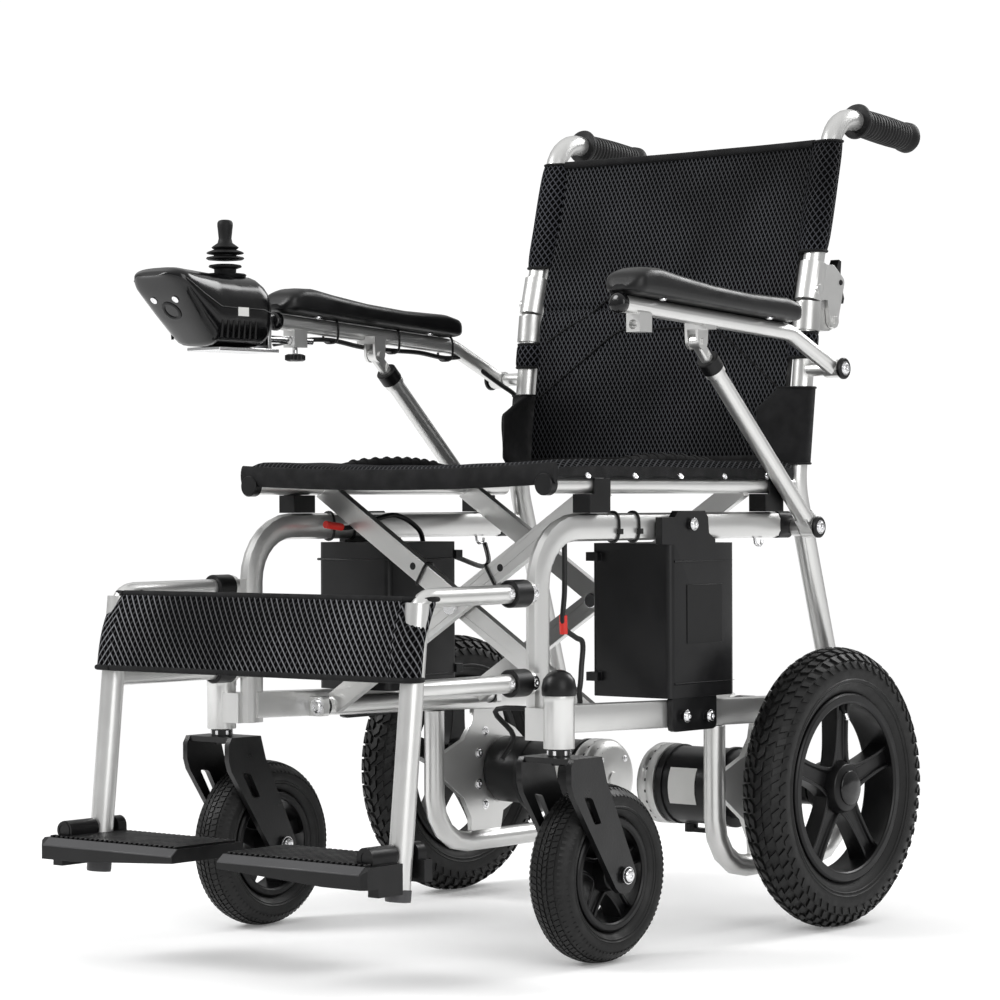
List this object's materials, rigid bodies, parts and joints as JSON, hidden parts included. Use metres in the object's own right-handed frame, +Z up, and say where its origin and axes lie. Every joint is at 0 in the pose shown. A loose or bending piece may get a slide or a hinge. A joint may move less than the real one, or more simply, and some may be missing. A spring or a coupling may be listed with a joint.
{
  "type": "power wheelchair",
  "caption": "Folding cross-braced power wheelchair with hub-side geared motors, casters, armrests, joystick, leg rests and mesh seat and back.",
  "frame": {"origin": "centre of the bounding box at floor level, under the seat", "axes": "+X the occupant's left, -Y the way the chair faces, +Z up"},
  "size_m": [0.6218, 1.0366, 0.9634],
  "materials": {
    "silver": "satin silver paint over aluminium tube",
    "steel": "zinc-plated bolt",
    "black_plastic": "fine-grained moulding",
    "black_case": "grained case",
    "black_metal": "satin powder coat",
    "rubber": "matt moulded",
    "pad": "self-skinned polyurethane foam",
    "tyre": "matt moulded tread",
    "cloth": "black spacer mesh"
  },
  "bodies": {
    "side_left": {"side_frame_left": "silver", "rear_post_left": "silver", "motor_left": "black_case", "battery_left": "black_case", "saddle_front_left": "black_plastic", "saddle_rear_left": "black_plastic", "back_bracket_left": "silver", "hanger_left": "silver", "skirt_left": "cloth"},
    "back_left": {"back_cane_left": "silver", "grip_left": "rubber"},
    "lever_left": {"back_lever_left": "black_plastic"},
    "arm_left": {"armrest_left": "silver", "arm_pad_left": "pad"},
    "strut_tube_body_left": {"strut_tube_left": "silver"},
    "strut_rod_body_left": {"strut_rod_left": "silver"},
    "fork_left": {"caster_fork_left": "black_metal"},
    "caster_left": {"caster_rim_left": "black_plastic", "caster_tyre_left": "tyre"},
    "wheel_left": {"wheel_rim_left": "black_plastic", "wheel_tyre_left": "tyre"},
    "footplate_body_left": {"footplate_left": "black_plastic"},
    "clutch_left": {"clutch_lever_left": "black_plastic"},
    "side_right": {"side_frame_right": "silver", "rear_post_right": "silver", "motor_right": "black_case", "battery_right": "black_case", "saddle_front_right": "black_plastic", "saddle_rear_right": "black_plastic", "back_bracket_right": "silver", "hanger_right": "silver", "skirt_right": "cloth", "back_panel_lower": "cloth", "calf_strap": "cloth"},
    "back_right": {"back_cane_right": "silver", "grip_right": "rubber", "back_panel_upper": "cloth"},
    "lever_right": {"back_lever_right": "black_plastic"},
    "arm_right": {"armrest_right": "silver", "arm_pad_right": "pad", "controller": "black_plastic", "controller_bracket": "silver"},
    "strut_tube_body_right": {"strut_tube_right": "silver"},
    "strut_rod_body_right": {"strut_rod_right": "silver"},
    "fork_right": {"caster_fork_right": "black_metal"},
    "caster_right": {"caster_rim_right": "black_plastic", "caster_tyre_right": "tyre"},
    "wheel_right": {"wheel_rim_right": "black_plastic", "wheel_tyre_right": "tyre"},
    "footplate_body_right": {"footplate_right": "black_plastic"},
    "clutch_right": {"clutch_lever_right": "black_plastic"},
    "cross_a": {"cross_half_left_rail": "silver", "cross_bolt_front": "steel", "cross_bolt_rear": "steel", "seat_sling": "cloth"},
    "cross_b": {"cross_half_right_rail": "silver"},
    "gimbal": {"stick_gimbal": "rubber"},
    "joystick": {"stick": "rubber"}
  },
  "joints": [
    {"name": "fold", "type": "hinge", "parent": "side_right", "child": "cross_a", "pos_m": [-0.187, 0.03171, 0.252], "axis": [0, -1, 0], "range_deg": [0, 11.9], "deforming": ["seat_sling", "back_panel_lower", "back_panel_upper", "calf_strap", "skirt_left", "skirt_right"]},
    {"name": "fold_centre", "type": "hinge", "parent": "cross_a", "child": "cross_b", "pos_m": [0, 0.03171, 0.3703], "axis": [0, -1, 0], "range_deg": [-23.8, 0]},
    {"name": "fold_left", "type": "hinge", "parent": "cross_b", "child": "side_left", "pos_m": [0.187, 0.03171, 0.252], "axis": [0, -1, 0], "range_deg": [0, 11.9]},
    {"name": "back_fold_left", "type": "hinge", "parent": "side_left", "child": "back_left", "pos_m": [0.2084, 0.32971, 0.701], "axis": [-1, 0, 0], "range_deg": [0, 90], "stiffness_Nm_per_rad": 25},
    {"name": "back_lever_left", "type": "hinge", "parent": "back_left", "child": "lever_left", "pos_m": [0.2084, 0.34371, 0.746], "axis": [1, 0, 0], "range_deg": [0, 20], "stiffness_Nm_per_rad": 0.2},
    {"name": "arm_flip_left", "type": "hinge", "parent": "side_left", "child": "arm_left", "pos_m": [0.252, 0.28171, 0.641], "axis": [-1, 0, 0], "range_deg": [0, 75]},
    {"name": "strut_foot_left", "type": "hinge", "parent": "side_left", "child": "strut_tube_body_left", "pos_m": [0.238, 0.25171, 0.457], "axis": [-1, 0, 0], "range_deg": [0, 46]},
    {"name": "strut_top_left", "type": "hinge", "parent": "arm_left", "child": "strut_rod_body_left", "pos_m": [0.238, 0.02871, 0.664], "axis": [-1, 0, 0], "range_deg": [-30, 0]},
    {"name": "caster_swivel_left", "type": "hinge", "parent": "side_left", "child": "fork_left", "pos_m": [0.2451, -0.22729, 0.222], "axis": [0, 0, 1], "continuous": true},
    {"name": "caster_spin_left", "type": "hinge", "parent": "fork_left", "child": "caster_left", "pos_m": [0.2451, -0.16279, 0.0951], "axis": [1, 0, 0], "continuous": true},
    {"name": "wheel_spin_left", "type": "hinge", "parent": "side_left", "child": "wheel_left", "pos_m": [0.2849, 0.22861, 0.16], "axis": [1, 0, 0], "continuous": true},
    {"name": "footplate_flip_left", "type": "hinge", "parent": "side_left", "child": "footplate_body_left", "pos_m": [0.2147, -0.44429, 0.138], "axis": [0, 1, 0], "range_deg": [0, 64]},
    {"name": "clutch_turn_left", "type": "hinge", "parent": "side_left", "child": "clutch_left", "pos_m": [0.084, 0.22861, 0.1], "axis": [0, 0, 1], "range_deg": [0, 90]},
    {"name": "back_fold_right", "type": "hinge", "parent": "side_right", "child": "back_right", "pos_m": [-0.2084, 0.32971, 0.701], "axis": [-1, 0, 0], "range_deg": [0, 90], "stiffness_Nm_per_rad": 25},
    {"name": "back_lever_right", "type": "hinge", "parent": "back_right", "child": "lever_right", "pos_m": [-0.2084, 0.34371, 0.746], "axis": [1, 0, 0], "range_deg": [0, 20], "stiffness_Nm_per_rad": 0.2},
    {"name": "arm_flip_right", "type": "hinge", "parent": "side_right", "child": "arm_right", "pos_m": [-0.252, 0.28171, 0.641], "axis": [-1, 0, 0], "range_deg": [0, 75]},
    {"name": "strut_foot_right", "type": "hinge", "parent": "side_right", "child": "strut_tube_body_right", "pos_m": [-0.238, 0.25171, 0.457], "axis": [-1, 0, 0], "range_deg": [0, 46]},
    {"name": "strut_top_right", "type": "hinge", "parent": "arm_right", "child": "strut_rod_body_right", "pos_m": [-0.238, 0.02871, 0.664], "axis": [-1, 0, 0], "range_deg": [-30, 0]},
    {"name": "caster_swivel_right", "type": "hinge", "parent": "side_right", "child": "fork_right", "pos_m": [-0.2451, -0.22729, 0.222], "axis": [0, 0, 1], "continuous": true},
    {"name": "caster_spin_right", "type": "hinge", "parent": "fork_right", "child": "caster_right", "pos_m": [-0.2451, -0.16279, 0.0951], "axis": [1, 0, 0], "continuous": true},
    {"name": "wheel_spin_right", "type": "hinge", "parent": "side_right", "child": "wheel_right", "pos_m": [-0.2849, 0.22861, 0.16], "axis": [1, 0, 0], "continuous": true},
    {"name": "footplate_flip_right", "type": "hinge", "parent": "side_right", "child": "footplate_body_right", "pos_m": [-0.2147, -0.44429, 0.138], "axis": [0, -1, 0], "range_deg": [0, 64]},
    {"name": "clutch_turn_right", "type": "hinge", "parent": "side_right", "child": "clutch_right", "pos_m": [-0.084, 0.22861, 0.1], "axis": [0, 0, -1], "range_deg": [0, 90]},
    {"name": "stick_pitch", "type": "hinge", "parent": "arm_right", "child": "gimbal", "pos_m": [-0.254, -0.21029, 0.752], "axis": [1, 0, 0], "range_deg": [-15, 15], "stiffness_Nm_per_rad": 0.4},
    {"name": "stick_roll", "type": "hinge", "parent": "gimbal", "child": "joystick", "pos_m": [-0.254, -0.21029, 0.752], "axis": [0, 1, 0], "range_deg": [-15, 15], "stiffness_Nm_per_rad": 0.4}
  ],
  "couplings": [
    {"joint": "fold_centre", "follows": "fold", "ratio": -2},
    {"joint": "fold_left", "follows": "fold", "ratio": 1},
    {"joint": "strut_foot_left", "follows": "arm_flip_left", "ratio": 0.6113},
    {"joint": "strut_top_left", "follows": "arm_flip_left", "ratio": -0.3887},
    {"joint": "strut_foot_right", "follows": "arm_flip_right", "ratio": 0.6113},
    {"joint": "strut_top_right", "follows": "arm_flip_right", "ratio": -0.3887},
    {"joint": "back_fold_left", "follows": "back_fold_right", "ratio": 1}
  ]
}
